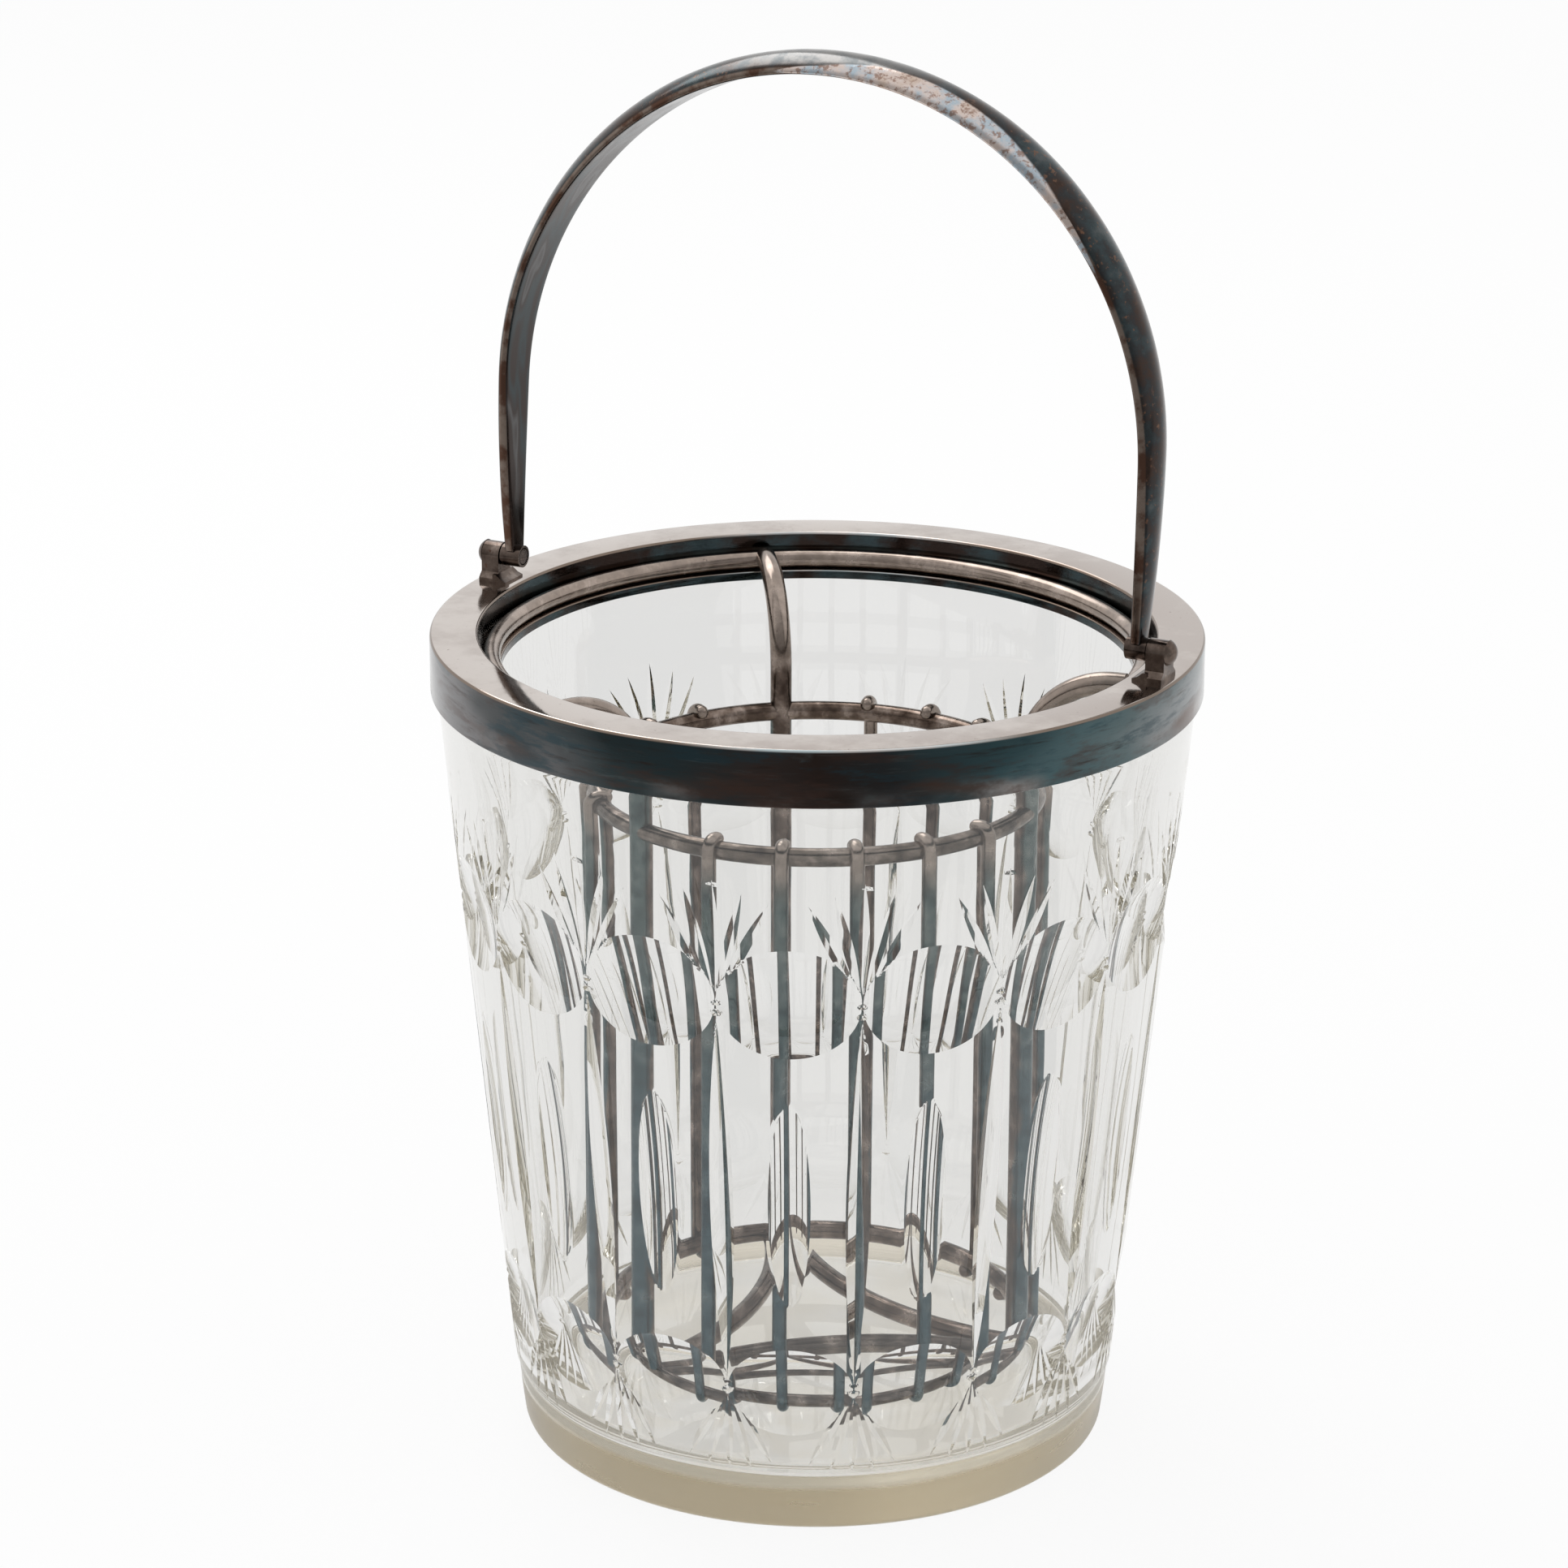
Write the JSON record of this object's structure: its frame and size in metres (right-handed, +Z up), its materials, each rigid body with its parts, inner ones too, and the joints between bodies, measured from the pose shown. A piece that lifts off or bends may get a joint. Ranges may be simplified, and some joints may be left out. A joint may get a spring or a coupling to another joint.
{
  "type": "champagne cooler",
  "caption": "Cut-glass champagne cooler with a plated rim mount, a swing bail handle and a lift-out wire bottle cage that hangs from a ledge inside the rim.",
  "frame": {"origin": "centre of the underside of the glass base", "axes": "+Z up, X along the hinge axis of the handle, +Y the side the standing handle leans to"},
  "size_m": [0.19, 0.19, 0.3496],
  "materials": {
    "cut_glass": "polished clear cut glass",
    "silver_plate": "worn and tarnished silver plate",
    "plated_wire": "dull, brownish silver plate"
  },
  "bodies": {
    "vessel": {"glass_vessel": "cut_glass", "rim_mount": "silver_plate", "lug_left": "silver_plate", "lug_right": "silver_plate", "pin_left": "silver_plate", "pin_right": "silver_plate"},
    "handle": {"handle_arch": "silver_plate", "knuckle_left": "silver_plate", "knuckle_right": "silver_plate"},
    "cage": {"hanging_ring": "plated_wire", "arm_bar_1": "plated_wire", "arm_bar_2": "plated_wire", "arm_bar_3": "plated_wire", "upper_ring_arc_1": "plated_wire", "upper_ring_arc_2": "plated_wire", "upper_ring_arc_3": "plated_wire", "bottom_ring": "plated_wire", "rest_arc_1": "plated_wire", "rest_arc_2": "plated_wire", "rest_arc_3": "plated_wire", "thin_bar_01": "plated_wire", "thin_bar_02": "plated_wire", "thin_bar_03": "plated_wire", "thin_bar_04": "plated_wire", "thin_bar_05": "plated_wire", "thin_bar_06": "plated_wire", "thin_bar_07": "plated_wire", "thin_bar_08": "plated_wire", "thin_bar_09": "plated_wire", "thin_bar_10": "plated_wire", "thin_bar_11": "plated_wire", "thin_bar_12": "plated_wire", "thin_bar_13": "plated_wire", "thin_bar_14": "plated_wire", "thin_bar_15": "plated_wire"}
  },
  "joints": [
    {"name": "handle_swing", "type": "hinge", "parent": "vessel", "child": "handle", "pos_m": [0, 0, 0.2152], "axis": [1, 0, 0], "range_deg": [-87, 93.8]},
    {"name": "cage_lift", "type": "slide", "parent": "vessel", "child": "cage", "axis": [0, 0, 1], "range_m": [0, 0.07]}
  ]
}
